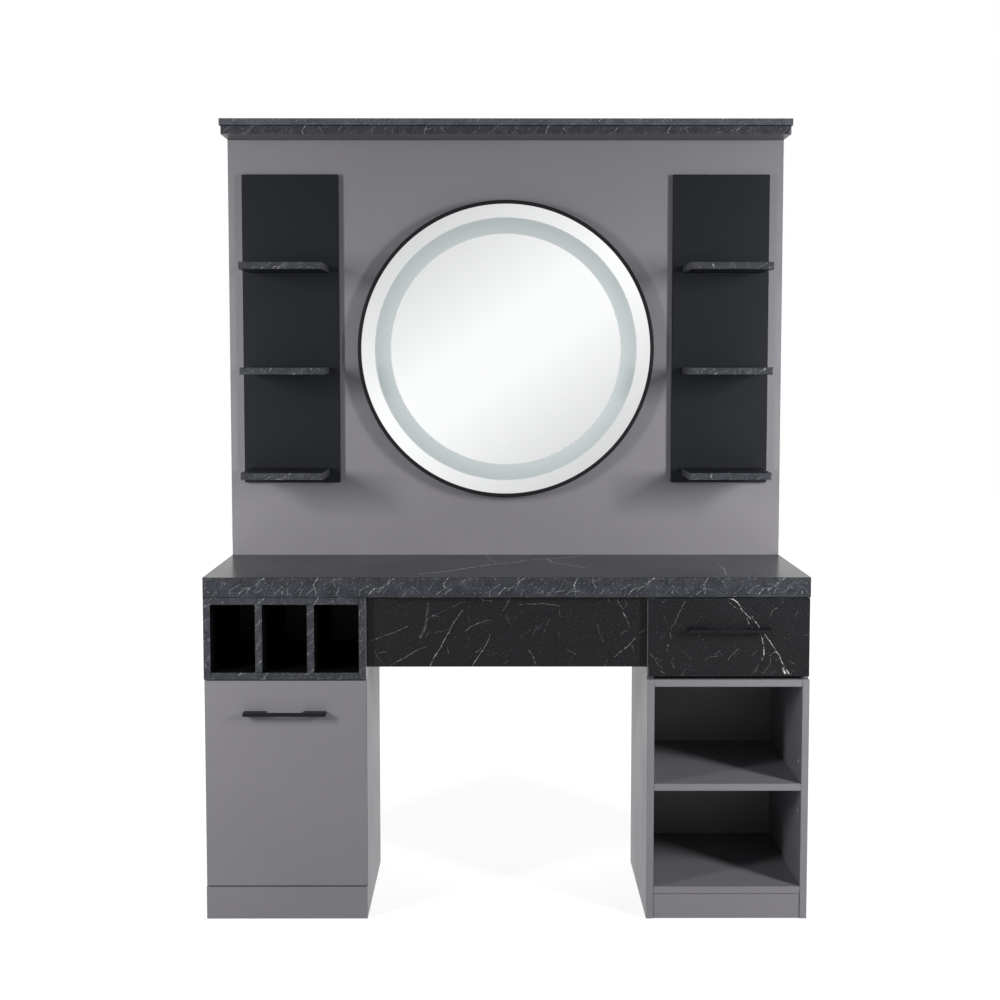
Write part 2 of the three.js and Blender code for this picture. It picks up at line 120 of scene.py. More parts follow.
# Veins of the marble print: strength, width and the points that the vein runs through, in metres
APRON_VEINS = [
    (0.26, 0.0016, [(-0.3369, 0.6989), (-0.3145, 0.7076), (-0.2748, 0.7226), (-0.2450, 0.7364)]),
    (0.37, 0.0015, [(-0.2876, 0.6386), (-0.2602, 0.6537), (-0.2304, 0.6712), (-0.2155, 0.6800)]),
    (0.22, 0.0014, [(-0.2155, 0.6800), (-0.2006, 0.6837)]),
    (
        0.63,
        0.0019,
        [
            (-0.1908, 0.6361), (-0.1808, 0.6561), (-0.1658, 0.6800), (-0.1559, 0.7000),
            (-0.1434, 0.7213),
        ],
    ),
    (0.41, 0.0016, [(-0.1434, 0.7213), (-0.1310, 0.7463), (-0.1185, 0.7638), (-0.1086, 0.7751)]),
    (0.22, 0.0013, [(-0.1558, 0.7288), (-0.1409, 0.7188)]),
    (0.16, 0.0015, [(-0.1904, 0.7588), (-0.1631, 0.7701), (-0.1507, 0.7763)]),
    (0.16, 0.0015, [(-0.1358, 0.7838), (-0.1185, 0.7938), (-0.1011, 0.7988)]),
    (0.33, 0.0016, [(-0.1037, 0.7238), (-0.0814, 0.7388), (-0.0616, 0.7463), (-0.0417, 0.7513)]),
    (0.59, 0.0018, [(-0.0865, 0.6360), (-0.0766, 0.6511), (-0.0641, 0.6686), (-0.0517, 0.6887)]),
    (0.37, 0.0016, [(-0.0517, 0.6887), (-0.0442, 0.7062), (-0.0418, 0.7162)]),
    (0.28, 0.0015, [(-0.0095, 0.7738), (0.0004, 0.7912), (0.0078, 0.8062)]),
    (0.26, 0.0015, [(-0.0665, 0.8062), (-0.0566, 0.8000), (-0.0368, 0.7987)]),
    (0.28, 0.0016, [(0.0326, 0.7900), (0.0573, 0.7912), (0.0945, 0.7924), (0.1316, 0.7862)]),
    (0.16, 0.0014, [(-0.0046, 0.7638), (0.0029, 0.7488), (0.0128, 0.7337)]),
    (0.22, 0.0014, [(0.0922, 0.7212), (0.1020, 0.7462), (0.1070, 0.7537)]),
    (0.18, 0.0013, [(0.0698, 0.7362), (0.0773, 0.7312), (0.0896, 0.7437)]),
    (0.15, 0.0013, [(0.0326, 0.7087), (0.0599, 0.7262)]),
    (0.44, 0.0017, [(0.2505, 0.8061), (0.2555, 0.7961)]),
    (0.31, 0.0015, [(0.2728, 0.8011), (0.2853, 0.7811)]),
    (0.67, 0.0022, [(0.2878, 0.7711), (0.2978, 0.7536)]),
    (0.33, 0.0015, [(0.2978, 0.7536), (0.3054, 0.7311)]),
    (0.21, 0.0014, [(0.2926, 0.8011), (0.2976, 0.7886), (0.2878, 0.7786)]),
    (0.43, 0.0017, [(0.2661, 0.6584), (0.2859, 0.6735), (0.3056, 0.6910), (0.3204, 0.7061)]),
    (0.22, 0.0026, [(0.0550, 0.6761), (0.0650, 0.6610), (0.0725, 0.6359)]),
    (0.21, 0.0015, [(0.1493, 0.6761), (0.1717, 0.6660)]),
    (0.16, 0.0015, [(0.2235, 0.7412), (0.2311, 0.7161), (0.2411, 0.6961)]),
    (0.21, 0.0015, [(0.2439, 0.6358), (0.2488, 0.6509)]),
    (0.15, 0.0014, [(-0.3296, 0.6763), (-0.3198, 0.6562), (-0.3050, 0.6386)]),
    (0.16, 0.0015, [(-0.0095, 0.6385), (0.0029, 0.6485)]),
    (0.08, 0.0090, [(-0.1952, 0.7913), (-0.1978, 0.7663), (-0.2004, 0.7413)]),
    (0.10, 0.0100, [(-0.2004, 0.7413), (-0.2054, 0.7238), (-0.2154, 0.7063)]),
]
DRAWER_VEINS = [
    (
        0.32,
        0.0016,
        [
            (0.4391, 0.8014), (0.4342, 0.7914), (0.4269, 0.7765), (0.4197, 0.7591),
            (0.4124, 0.7417), (0.4050, 0.7367),
        ],
    ),
    (0.15, 0.0015, [(0.4051, 0.7342), (0.4028, 0.7118)]),
    (0.85, 0.0018, [(0.5426, 0.8088), (0.5574, 0.8063)]),
    (1.00, 0.0032, [(0.5574, 0.8063), (0.5673, 0.7988), (0.5748, 0.7889)]),
    (
        0.85,
        0.0020,
        [(0.5748, 0.7889), (0.5799, 0.7789), (0.5874, 0.7715), (0.5949, 0.7640), (0.6024, 0.7565)],
    ),
    (0.36, 0.0017, [(0.5451, 0.8013), (0.5576, 0.7889), (0.5725, 0.7802)]),
    (0.41, 0.0019, [(0.6047, 0.7640), (0.6098, 0.7540)]),
    (0.45, 0.0022, [(0.5925, 0.7565), (0.5976, 0.7441)]),
    (0.70, 0.0026, [(0.6051, 0.7366), (0.6061, 0.7356)]),
    (1.00, 0.0028, [(0.6123, 0.7515), (0.6173, 0.7441)]),
    (0.85, 0.0020, [(0.6173, 0.7441), (0.6248, 0.7341)]),
    (0.75, 0.0018, [(0.6361, 0.7191), (0.6424, 0.7104), (0.6500, 0.7017)]),
    (0.95, 0.0024, [(0.6500, 0.7017), (0.6563, 0.6904), (0.6626, 0.6817)]),
    (1.00, 0.0036, [(0.6651, 0.6767), (0.6727, 0.6667)]),
    (0.90, 0.0024, [(0.6752, 0.6642), (0.6765, 0.6554), (0.6828, 0.6454)]),
    (0.45, 0.0018, [(0.6828, 0.6454), (0.6879, 0.6367)]),
    (1.00, 0.0075, [(0.6830, 0.6329), (0.6894, 0.6204)]),
    (1.00, 0.0036, [(0.6917, 0.6304), (0.6980, 0.6192)]),
    (0.70, 0.0019, [(0.6263, 0.7191), (0.6301, 0.7092), (0.6340, 0.6942)]),
    (1.00, 0.0032, [(0.6353, 0.6867), (0.6356, 0.6667)]),
    (0.30, 0.0020, [(0.6331, 0.6642), (0.6308, 0.6542)]),
    (0.41, 0.0018, [(0.6651, 0.6742), (0.6578, 0.6717), (0.6504, 0.6642)]),
    (0.24, 0.0015, [(0.6530, 0.6592), (0.6507, 0.6442), (0.6410, 0.6292), (0.6337, 0.6192)]),
    (0.30, 0.0018, [(0.6654, 0.6542), (0.6728, 0.6567)]),
    (0.21, 0.0015, [(0.6951, 0.6542), (0.7051, 0.6467), (0.7125, 0.6442)]),
    (0.26, 0.0017, [(0.6492, 0.7640), (0.6540, 0.7739), (0.6588, 0.7814), (0.6662, 0.7839)]),
    (0.30, 0.0015, [(0.5467, 0.6543), (0.5540, 0.6643), (0.5638, 0.6742), (0.5736, 0.6830)]),
    (0.21, 0.0015, [(0.4898, 0.6543), (0.5021, 0.6618), (0.5218, 0.6643)]),
    (0.18, 0.0014, [(0.4377, 0.6768), (0.4477, 0.6643), (0.4552, 0.6543)]),
    (0.29, 0.0015, [(0.3512, 0.6743), (0.3611, 0.6619)]),
    (0.20, 0.0014, [(0.3636, 0.6594), (0.3736, 0.6444), (0.3836, 0.6343)]),
    (0.27, 0.0015, [(0.3787, 0.6293), (0.3911, 0.6193)]),
    (0.18, 0.0014, [(0.3661, 0.6619), (0.3810, 0.6493)]),
    (0.24, 0.0015, [(0.4057, 0.6518), (0.4131, 0.6593)]),
    (0.21, 0.0015, [(0.4082, 0.6493), (0.4133, 0.6343)]),
    (0.18, 0.0014, [(0.6040, 0.6192), (0.6187, 0.6292)]),
    (0.17, 0.0014, [(0.3781, 0.7093), (0.3928, 0.7217)]),
    (0.45, 0.0026, [(0.3848, 0.7989), (0.3856, 0.7982)]),
    (0.41, 0.0026, [(0.3980, 0.6918), (0.3980, 0.6893)]),
    (0.30, 0.0018, [(0.3968, 0.6843), (0.3956, 0.6768)]),
    (0.38, 0.0022, [(0.3914, 0.7491), (0.3919, 0.7486)]),
    (0.26, 0.0020, [(0.3876, 0.7641), (0.3901, 0.7591)]),
    (0.34, 0.0022, [(0.5317, 0.6668), (0.5324, 0.6663)]),
    (0.34, 0.0022, [(0.5415, 0.6718), (0.5420, 0.6708)]),
    (0.26, 0.0020, [(0.4541, 0.6393), (0.4553, 0.6383)]),
]
EDGE_VEINS = [
    (0.40, 0.0013, [(0.0196, 0.0279), (0.0097, 0.0180), (-0.0001, 0.0057)]),
    (0.40, 0.0013, [(0.0196, 0.0279), (0.0293, 0.0168), (0.0415, 0.0057)]),
    (0.32, 0.0060, [(0.0195, 0.0156), (0.0195, 0.0106)]),
    (0.38, 0.0012, [(0.0270, 0.0550), (0.0209, 0.0476), (0.0147, 0.0402)]),
    (0.95, 0.0020, [(0.1101, 0.0513), (0.1015, 0.0402), (0.0966, 0.0303), (0.1002, 0.0242)]),
    (0.65, 0.0014, [(0.1002, 0.0242), (0.0892, 0.0155), (0.0782, 0.0069)]),
    (0.55, 0.0015, [(0.1002, 0.0242), (0.1014, 0.0155), (0.1014, 0.0069)]),
    (0.35, 0.0013, [(0.1076, 0.0229), (0.1149, 0.0180)]),
    (0.48, 0.0014, [(0.1418, 0.0451), (0.1479, 0.0328), (0.1516, 0.0254)]),
    (0.42, 0.0013, [(0.1394, 0.0377), (0.1541, 0.0451), (0.1712, 0.0549)]),
    (0.34, 0.0012, [(0.1565, 0.0402), (0.1761, 0.0549)]),
    (
        0.48,
        0.0014,
        [(0.2103, 0.0056), (0.2103, 0.0155), (0.2176, 0.0229), (0.2274, 0.0278), (0.2372, 0.0327)],
    ),
    (0.95, 0.0020, [(0.2323, 0.0069), (0.2397, 0.0167), (0.2470, 0.0229)]),
    (0.90, 0.0020, [(0.2543, 0.0167), (0.2629, 0.0253)]),
    (
        0.58,
        0.0015,
        [(0.2470, 0.0229), (0.2617, 0.0241), (0.2739, 0.0303), (0.2812, 0.0377), (0.2885, 0.0438)],
    ),
    (0.95, 0.0020, [(0.2885, 0.0438), (0.2959, 0.0475), (0.2983, 0.0549)]),
    (0.40, 0.0013, [(0.2690, 0.0105), (0.2751, 0.0204), (0.2812, 0.0327), (0.2861, 0.0426)]),
    (0.38, 0.0015, [(0.2763, 0.0549), (0.2836, 0.0475), (0.2812, 0.0377)]),
    (0.28, 0.0012, [(0.3008, 0.0278), (0.3203, 0.0401)]),
    (0.30, 0.0012, [(0.0488, 0.0082), (0.0660, 0.0254), (0.0758, 0.0451)]),
    (0.26, 0.0012, [(0.1736, 0.0081), (0.1883, 0.0229), (0.1956, 0.0401)]),
    (0.28, 0.0012, [(0.3252, 0.0499), (0.3106, 0.0229)]),
]
WORKTOP_VEINS = [
    (0.80, 0.0075, [(-0.217, -0.180), (-0.150, -0.123), (-0.100, -0.060), (-0.042, 0.016)]),
    (
        0.70,
        0.0070,
        [(-0.042, 0.016), (0.024, 0.064), (0.058, 0.117), (0.112, 0.145), (0.217, 0.220)],
    ),
    (0.60, 0.0065, [(0.112, 0.145), (0.122, 0.071), (0.203, -0.050)]),
    (0.45, 0.0055, [(0.555, 0.030), (0.558, 0.003), (0.557, -0.104), (0.546, -0.206)]),
    (0.30, 0.0060, [(-0.059, 0.247), (-0.026, 0.063)]),
    (0.25, 0.0060, [(-0.446, -0.029), (-0.374, 0.058)]),
]
VEIN_SLIMNESS = 0.72
VEIN_WAVER = 0.0045
# The edge band's print repeats along the board, in a strip as high as the worktop
EDGE_START = (-0.2225, 0.810)
EDGE_REPEAT = (0.3204, 0.050)
EDGE_FRONT = 0.283
# Boards at other heights show other parts of the sheet
PRINT_SHIFT = 3.0


def linear(red, green, blue):
    """A colour written in 0-255 screen values, as the shaders want it."""
    parts = [c / 255 for c in (red, green, blue)]
    parts = [c / 12.92 if c <= 0.04045 else ((c + 0.055) / 1.055) ** 2.4 for c in parts]
    return (*parts, 1.0)


def shaded(colour, share):
    """The colour at a share of its brightness."""
    return (*(c * share for c in colour[:3]), 1.0)


# Colours; a pair is a material's dark and light shade
WHITE = (1.0, 1.0, 1.0, 1.0)
GREY = linear(122, 120, 125)
BLACK = linear(18, 21, 26)
# Cornice underside: the panel's grey laminate, darkened as painted shade for the face that looks
# down
SHADED_SOFFIT_GREY = linear(86, 85, 88)
RACK_BLACK = linear(17, 17, 19)
FRONT_SHEET = (linear(16, 16, 18), linear(24, 24, 27))
# Level boards: the fronts' laminate, darkened as painted shade on their level faces
SHADED_BOARD_SHEET = (linear(12, 12, 14), linear(19, 19, 21))
SHEET_HAZE = linear(84, 85, 88)
SHEET_HAIR = linear(180, 181, 184)
SHEET_VEIN = linear(232, 232, 234)
EDGE_SHADES = (linear(40, 42, 47), linear(56, 58, 64))
EDGE_GRAIN = linear(116, 119, 126)
EDGE_CRACK = linear(214, 216, 220)
BLACK_METAL = linear(20, 21, 25)
ZINC = (linear(176, 178, 180), linear(206, 207, 207))
FOIL = (linear(196, 196, 193), linear(212, 212, 209))
DRIVER_PLASTIC = (linear(136, 138, 141), linear(148, 150, 152))
CAP_PLASTIC = (linear(166, 166, 168), linear(178, 178, 180))
STRIP_WHITE = linear(238, 239, 240)
STRIP_CHIP = linear(240, 214, 120)
SILVER = linear(252, 253, 253)
FROST = (linear(190, 197, 198), linear(199, 206, 207))
# Frost darkening toward the ring's outer edge: painted shade
FROST_EDGE_SHADE = linear(182, 190, 191)

MARBLE_ROUGH = 0.36
MARBLE_GLOSS = 0.16


class Graph:
    """Writes a node tree. A value that is a socket is linked, any other is set on the input."""

    def __init__(self, tree):
        self.tree = tree
        tree.nodes.clear()

    def node(self, kind, inputs=(), **settings):
        made = self.tree.nodes.new(kind)
        for name, value in settings.items():
            setattr(made, name, value)
        pairs = inputs.items() if isinstance(inputs, dict) else enumerate(inputs)
        for key, value in pairs:
            if isinstance(value, bpy.types.NodeSocket):
                self.tree.links.new(value, made.inputs[key])
            else:
                made.inputs[key].default_value = value
        return made

    def math(self, operation, *values, clamp=False):
        made = self.node("ShaderNodeMath", values, operation=operation, use_clamp=clamp)
        return made.outputs[0]

    def add(self, first, second):
        return self.math("ADD", first, second)

    def subtract(self, first, second):
        return self.math("SUBTRACT", first, second)

    def times(self, first, second):
        return self.math("MULTIPLY", first, second)

    def larger(self, first, second):
        return self.math("MAXIMUM", first, second)

    def size(self, value):
        return self.math("ABSOLUTE", value)

    def vector(self, operation, *values):
        return self.node("ShaderNodeVectorMath", values, operation=operation).outputs["Vector"]

    def number(self, operation, *values):
        return self.node("ShaderNodeVectorMath", values, operation=operation).outputs["Value"]

    def scaled(self, vector, factor):
        inputs = {0: vector, "Scale": factor}
        return self.node("ShaderNodeVectorMath", inputs, operation="SCALE").outputs["Vector"]

    def join(self, x, y, z):
        return self.node("ShaderNodeCombineXYZ", (x, y, z)).outputs[0]

    def split(self, vector):
        return self.node("ShaderNodeSeparateXYZ", (vector,)).outputs

    def point(self):
        """Place on the piece, in metres in the shared frame at rest."""
        return self.node("ShaderNodeTexCoord").outputs["Object"]

    def normal(self):
        return self.split(self.node("ShaderNodeNewGeometry").outputs["True Normal"])

    def noise(self, point, scale, detail=2.0, roughness=0.5):
        inputs = {"Vector": point, "Scale": scale, "Detail": detail, "Roughness": roughness}
        return self.node("ShaderNodeTexNoise", inputs).outputs[0]

    def wavered(self, point, source, scale, detail, amount):
        """The point, pushed about by a noise at the source."""
        inputs = {"Vector": source, "Scale": scale, "Detail": detail}
        push = self.node("ShaderNodeTexNoise", inputs).outputs["Color"]
        push = self.vector("SUBTRACT", push, (0.5, 0.5, 0.5))
        return self.vector("ADD", point, self.scaled(push, amount))

    def ramp(self, value, low, high, start=0.0, end=1.0):
        """Smooth step: start up to low, end from high on."""
        inputs = {
            "Value": value,
            "From Min": low,
            "From Max": high,
            "To Min": start,
            "To Max": end,
        }
        made = self.node("ShaderNodeMapRange", inputs, interpolation_type="SMOOTHSTEP")
        return made.outputs["Result"]

    def mix(self, factor, first, second):
        made = self.node("ShaderNodeMix", {0: factor, 6: first, 7: second}, data_type="RGBA")
        return made.outputs[2]

    def bump(self, height, strength, distance):
        inputs = {"Strength": strength, "Distance": distance, "Height": height}
        return self.node("ShaderNodeBump", inputs).outputs["Normal"]

    def group(self, tree, inputs):
        made = self.node("ShaderNodeGroup", node_tree=tree)
        for name, value in inputs.items():
            if isinstance(value, bpy.types.NodeSocket):
                self.tree.links.new(value, made.inputs[name])
            else:
                made.inputs[name].default_value = value
        return made.outputs[0]

    def surface(self, inputs):
        shader = self.node("ShaderNodeBsdfPrincipled", inputs)
        self.node("ShaderNodeOutputMaterial", {"Surface": shader.outputs[0]})


def new_material(name):
    made = bpy.data.materials.new(name)
    made.use_nodes = True
    return made, Graph(made.node_tree)


def build_camera():
    data = bpy.data.cameras.new("photo_camera")
    data.sensor_width = SENSOR_WIDTH
    data.lens = CAMERA_LENS
    camera = bpy.data.objects.new("photo_camera", data)
    camera.location = CAMERA_PLACE
    camera.rotation_euler = (math.pi / 2 - CAMERA_PITCH, 0, -CAMERA_YAW)
    SCENE.collection.objects.link(camera)
    SCENE.camera = camera


def seen_directly(graph):
    """1 for rays that show the background, straight or in metal and glass."""
    rays = graph.node("ShaderNodeLightPath").outputs
    shown = graph.larger(rays["Is Camera Ray"], rays["Is Glossy Ray"])
    return graph.larger(shown, rays["Is Transmission Ray"])


def build_world():
    world = bpy.data.worlds.new("studio")
    world.use_nodes = True
    SCENE.world = world
    graph = Graph(world.node_tree)
    seen = seen_directly(graph)
    direction = graph.node("ShaderNodeTexCoord").outputs["Generated"]
    parts = graph.split(direction)
    fill = graph.ramp(parts["Y"], *FILL_TURN, FILL_FROM_FRONT, FILL_FROM_BEHIND)
    across = (-math.sin(SEEN_SLANT), 0.0, math.cos(SEEN_SLANT))
    aside = graph.size(graph.number("DOT_PRODUCT", direction, across))
    fall = (aside, *SEEN_REACH, SEEN_AHEAD, SEEN_ASIDE)
    mirrored = graph.node("ShaderNodeMapRange", fall).outputs["Result"]
    mirrored = graph.larger(mirrored, graph.ramp(parts["Y"], *SEEN_BEHIND))
    rays = graph.node("ShaderNodeLightPath").outputs
    shown = graph.larger(mirrored, rays["Is Camera Ray"])
    dimmed = graph.times(fill, graph.subtract(1.0, seen))
    strength = graph.add(graph.times(seen, shown), dimmed)
    background = graph.node("ShaderNodeBackground", {"Color": WHITE, "Strength": strength})
    graph.node("ShaderNodeOutputWorld", {"Surface": background.outputs[0]})


def build_floor():
    mesh = bpy.data.meshes.new("floor")
    reach = FLOOR_REACH
    corners = [(-reach, -reach, 0), (reach, -reach, 0), (reach, reach, 0), (-reach, reach, 0)]
    mesh.from_pydata(corners, [], [(0, 1, 2, 3)])
    floor = bpy.data.objects.new("floor", mesh)
    SCENE.collection.objects.link(floor)
    made, graph = new_material("pale_floor")
    seen = seen_directly(graph)
    bounce = graph.node("ShaderNodeBsdfDiffuse", {"Color": shaded(WHITE, FLOOR_BOUNCE)})
    dim = graph.node("ShaderNodeBsdfDiffuse", {"Color": shaded(WHITE, FLOOR_SHADED)})
    away = graph.number("LENGTH", graph.point())
    level = graph.ramp(away, *FLOOR_GLOW_REACH, *FLOOR_GLOW)
    glow = graph.node("ShaderNodeEmission", {"Color": WHITE, "Strength": level})
    white = graph.node("ShaderNodeAddShader", (dim.outputs[0], glow.outputs[0]))
    both = graph.node("ShaderNodeMixShader", (seen, bounce.outputs[0], white.outputs[0]))
    graph.node("ShaderNodeOutputMaterial", {"Surface": both.outputs[0]})
    mesh.materials.append(made)


def build_softbox(name, side, power):
    data = bpy.data.lights.new(name, "AREA")
    data.shape = "RECTANGLE"
    data.size, data.size_y = SOFTBOX_SIZE
    data.spread = SOFTBOX_SPREAD
    data.energy = power
    light = bpy.data.objects.new(name, data)
    place = Vector((side * SOFTBOX_PLACE[0], *SOFTBOX_PLACE[1:]))
    aim = Vector((side * SOFTBOX_AIM[0], *SOFTBOX_AIM[1:]))
    light.location = place
    light.rotation_euler = (aim - place).to_track_quat("-Z", "Y").to_euler()
    light.visible_camera = False
    SCENE.collection.objects.link(light)


def vein_group():
    """Node group: draws a vein from Start to Stop. The marks so far ride in the Z of Point."""
    tree = bpy.data.node_groups.new("marble_vein", "ShaderNodeTree")
    for name, kind in (
        ("Point", "NodeSocketVector"),
        ("Swell", "NodeSocketFloat"),
        ("Start", "NodeSocketVector"),
        ("Stop", "NodeSocketVector"),
        ("Width", "NodeSocketFloat"),
        ("Strength", "NodeSocketFloat"),
    ):
        tree.interface.new_socket(name, in_out="INPUT", socket_type=kind)
    tree.interface.new_socket("Point", in_out="OUTPUT", socket_type="NodeSocketVector")
    graph = Graph(tree)
    given = graph.node("NodeGroupInput").outputs
    parts = graph.split(given["Point"])
    place = graph.join(parts["X"], parts["Y"], 0.0)
    reach = graph.vector("SUBTRACT", place, given["Start"])
    run = graph.vector("SUBTRACT", given["Stop"], given["Start"])
    along = graph.number("DOT_PRODUCT", reach, run)
    length = graph.number("DOT_PRODUCT", run, run)
    share = graph.math("DIVIDE", along, length, clamp=True)
    away = graph.number("DISTANCE", reach, graph.scaled(run, share))
    mask = graph.ramp(away, graph.times(given["Swell"], given["Width"]), 0.0)
    marks = graph.larger(parts["Z"], graph.times(mask, given["Strength"]))
    graph.node("NodeGroupOutput", (graph.join(parts["X"], parts["Y"], marks),))
    return tree


VEIN_GROUP = vein_group()


def drawn_veins(graph, plane, veins, source):
    """The veins listed for a board, wavering and broken up a little, on the board's plane."""
    swell = graph.ramp(graph.noise(source, scale=140.0), 0.3, 0.72, start=0.4, end=1.1)
    flat = graph.split(graph.wavered(plane, source, scale=75.0, detail=4.0, amount=VEIN_WAVER))
    drawn = graph.join(flat["X"], flat["Y"], 0.0)
    for strength, width, points in veins:
        for start, stop in zip(points, points[1:]):
            inputs = {
                "Point": drawn,
                "Swell": swell,
                "Start": (*start, 0.0),
                "Stop": (*stop, 0.0),
                "Width": VEIN_SLIMNESS * width,
                "Strength": strength,
            }
            drawn = graph.group(VEIN_GROUP, inputs)
    gaps = graph.noise(source, scale=150.0, detail=4.0)
    broken = graph.ramp(gaps, 0.34, 0.62, start=0.1, end=0.95)
    return graph.times(graph.split(drawn)["Z"], broken)


def strokes(graph, flat, scale, slant, spread, length, width, share):
    """Short straight strokes about one slant, in a share of the cells of a random pattern."""
    inputs = {"Vector": flat, "Scale": scale}
    cell = graph.node("ShaderNodeTexVoronoi", inputs, voronoi_dimensions="2D", feature="F1").outputs
    offset = graph.split(graph.vector("SUBTRACT", flat, cell["Position"]))
    chance = graph.node("ShaderNodeSeparateColor", (cell["Color"],)).outputs
    angle = graph.add(graph.times(graph.subtract(chance[0], 0.5), 2 * spread), slant)
    cosine = graph.math("COSINE", angle)
    sine = graph.math("SINE", angle)
    along = graph.add(graph.times(offset["X"], cosine), graph.times(offset["Y"], sine))
    across = graph.subtract(graph.times(offset["Y"], cosine), graph.times(offset["X"], sine))
    thin = graph.ramp(graph.size(across), width, 0.25 * width)
    short = graph.ramp(graph.size(along), length, 0.5 * length)
    kept = graph.ramp(chance[1], 1.0 - share, 1.0 - 0.4 * share)
    return graph.times(graph.times(thin, short), kept)


def marble_face(graph, plane, veins, shades, haze):
    """Nearly black sheet with thin veins, faint hairs and dust."""
    colour = graph.mix(graph.noise(plane, scale=7.0, detail=4.0), *shades)
    mist = graph.noise(plane, scale=240.0, detail=4.0, roughness=0.75)
    colour = graph.mix(graph.ramp(mist, 0.5, 0.76, end=haze), colour, SHEET_HAZE)
    dust = graph.ramp(graph.noise(plane, scale=310.0, detail=1.0), 0.68, 0.78)
    bent = graph.wavered(plane, plane, scale=60.0, detail=3.0, amount=0.014)
    hairs = strokes(
        graph, bent, scale=22.0, slant=0.8, spread=1.3, length=0.012, width=0.0007, share=0.5
    )
    faint = graph.larger(graph.times(dust, 0.24), graph.times(hairs, 0.26))
    colour = graph.mix(faint, colour, SHEET_HAIR)
    if veins:
        colour = graph.mix(drawn_veins(graph, plane, veins, plane), colour, SHEET_VEIN)
    return colour


def marble_edge(graph, point, tone=1.0, lines=0.95):
    """Edge band: a lighter, speckled print whose cracks repeat along the board."""
    dark, light = [shaded(shade, tone) for shade in EDGE_SHADES]
    parts = graph.split(point)
    round_board = graph.add(parts["X"], parts["Y"])
    flat = graph.join(round_board, parts["Z"], 0.0)
    cloud = graph.ramp(graph.noise(flat, scale=30.0, detail=3.0), 0.3, 0.7)
    grain = graph.noise(flat, scale=330.0, detail=4.0, roughness=0.75)
    colour = graph.mix(cloud, dark, light)
    colour = graph.mix(graph.ramp(grain, 0.46, 0.76, end=0.62), colour, shaded(EDGE_GRAIN, tone))
    bent = graph.wavered(flat, flat, scale=70.0, detail=3.0, amount=0.01)
    hairs = strokes(
        graph, bent, scale=24.0, slant=0.8, spread=0.7, length=0.014, width=0.0008, share=0.5
    )
    flecks = strokes(
        graph, bent, scale=85.0, slant=0.8, spread=1.2, length=0.0035, width=0.0011, share=0.4
    )
    small = graph.larger(graph.times(hairs, 0.32), graph.times(flecks, 0.2))
    along = graph.subtract(round_board, EDGE_START[0] - EDGE_FRONT)
    along = graph.math("WRAP", along, EDGE_REPEAT[0], 0.0)
    rise = graph.math("WRAP", graph.subtract(parts["Z"], EDGE_START[1]), EDGE_REPEAT[1], 0.0)
    cracks = drawn_veins(graph, graph.join(along, rise, 0.0), EDGE_VEINS, flat)
    return graph.mix(graph.times(graph.larger(small, cracks), lines), colour, EDGE_CRACK)


def laminate_colour(graph, point, colour, spread):
    """Plain laminate print: a pearl grain and a faint cloud, both close to the colour."""
    grain = graph.noise(point, scale=600.0, detail=3.0, roughness=0.6)
    cloud = graph.noise(point, scale=6.0, detail=3.0)
    both = graph.add(graph.times(grain, 0.75), graph.times(cloud, 0.25))
    dark, light = shaded(colour, 1 - spread), shaded(colour, 1 + spread)
    return graph.mix(graph.ramp(both, 0.32, 0.68), dark, light)


def laminate_skin(graph, point, colour, rough, gloss, relief=0.05, uneven=0.03):
    """The laminate's pressed texture: fine pores in the bump and an uneven sheen."""
    pores = graph.noise(point, scale=1500.0)
    sheen = graph.noise(point, scale=5.0)
    graph.surface(
        {
            "Base Color": colour,
            "Roughness": graph.ramp(sheen, 0.25, 0.75, rough - uneven, rough + uneven),
            "Specular IOR Level": gloss,
            "Normal": graph.bump(pores, strength=relief, distance=0.0003),
        }
    )


def plain_laminate(name, colour, spread, rough, gloss):
    made, graph = new_material(name)
    point = graph.point()
    laminate_skin(graph, point, laminate_colour(graph, point, colour, spread), rough, gloss)
    return made


def facing(graph, component, sign=0):
    """1 on faces that look along a component of the normal, one way or both ways."""
    value = graph.times(component, float(sign)) if sign else graph.size(component)
    return graph.ramp(value, 0.68, 0.72)


def marble_slab(
    name,
    veins=(),
    grey_below=False,
    tone=1.0,
    lines=0.95,
    rough=MARBLE_ROUGH,
    gloss=MARBLE_GLOSS,
):
    """Level marble board: the sheet above and below, darkened as painted shade, the edge band round
    it.
    """
    made, graph = new_material(name)
    point = graph.point()
    parts = graph.split(point)
    normal = graph.normal()
    shift = 0.0 if veins else graph.times(parts["Z"], PRINT_SHIFT)
    plane = graph.join(parts["X"], parts["Y"], shift)
    edge = marble_edge(graph, point, tone, lines)
    # Level faces take the darker sheet and less haze than the fronts: painted shade
    face = marble_face(graph, plane, veins, SHADED_BOARD_SHEET, haze=0.2)
    colour = graph.mix(facing(graph, normal["Z"]), edge, face)
    if grey_below:
        # Grey laminate on the faces that look down, darker than the panel grey: painted shade under
        # the overhang
        grey = laminate_colour(graph, point, SHADED_SOFFIT_GREY, spread=0.1)
        colour = graph.mix(facing(graph, normal["Z"], -1), colour, grey)
    laminate_skin(graph, point, colour, rough, gloss, relief=0.01, uneven=0.015)
    return made


def marble_front(name, veins):
    """Upright marble front: the sheet before and behind, the edge band round it."""
    made, graph = new_material(name)
    point = graph.point()
    parts = graph.split(point)
    plane = graph.join(parts["X"], parts["Z"], 0.0)
    face = marble_face(graph, plane, veins, FRONT_SHEET, haze=0.35)
    colour = graph.mix(facing(graph, graph.normal()["Y"]), marble_edge(graph, point), face)
    laminate_skin(graph, point, colour, MARBLE_ROUGH, MARBLE_GLOSS)
    return made


